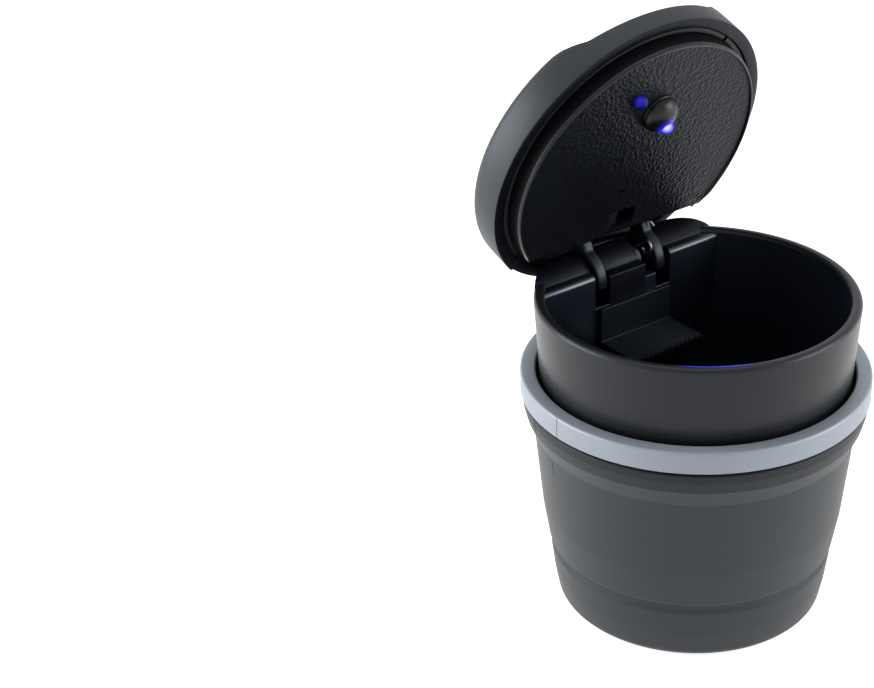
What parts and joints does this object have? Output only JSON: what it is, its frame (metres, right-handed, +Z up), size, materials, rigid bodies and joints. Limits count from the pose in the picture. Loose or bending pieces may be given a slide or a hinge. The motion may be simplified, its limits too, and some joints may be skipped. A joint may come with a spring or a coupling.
{
  "type": "car ashtray",
  "caption": "Round car ashtray for a cup holder: tapering sleeve, silver ring, dark ash cup with a toothed shelf, and a hinged lid with handle and blue light standing open",
  "frame": {"origin": "middle of the flat base of the sleeve", "axes": "+Z up along the sleeve's axis, hinge at +Y, finger scoop of the shut lid at -Y, hinge pin along X"},
  "size_m": [0.08, 0.0851, 0.14],
  "materials": {
    "sleeve_plastic": "satin black-grey",
    "silver_plastic": "silver paint, satin",
    "cup_plastic": "satin black",
    "shelf_metal": "black",
    "steel": "bright",
    "lid_plastic": "satin black-grey",
    "liner_plastic": "leather grain",
    "seal_rubber": "matt",
    "hood_plastic": "satin",
    "blue_light": "clear, lit blue",
    "board": "green lacquer"
  },
  "bodies": {
    "base_unit": {"outer_sleeve": "sleeve_plastic", "silver_ring": "silver_plastic", "ash_cup": "cup_plastic", "snuffer_shelf": "shelf_metal", "hinge_pin": "steel", "torsion_spring": "steel"},
    "lid": {"lid_shell": "lid_plastic", "lid_liner": "liner_plastic", "lid_seal": "seal_rubber", "lid_trim": "silver_plastic", "thumb_handle": "lid_plastic", "led_hood": "hood_plastic", "led_near": "blue_light", "led_far": "blue_light", "circuit_board": "board", "coin_cell": "steel"}
  },
  "joints": [
    {"name": "lid_hinge", "type": "hinge", "parent": "base_unit", "child": "lid", "pos_m": [0, 0.0297, 0.0737], "axis": [1, 0, 0], "range_deg": [0, 70], "stiffness_Nm_per_rad": 0.006, "springref_deg": -28.65}
  ]
}
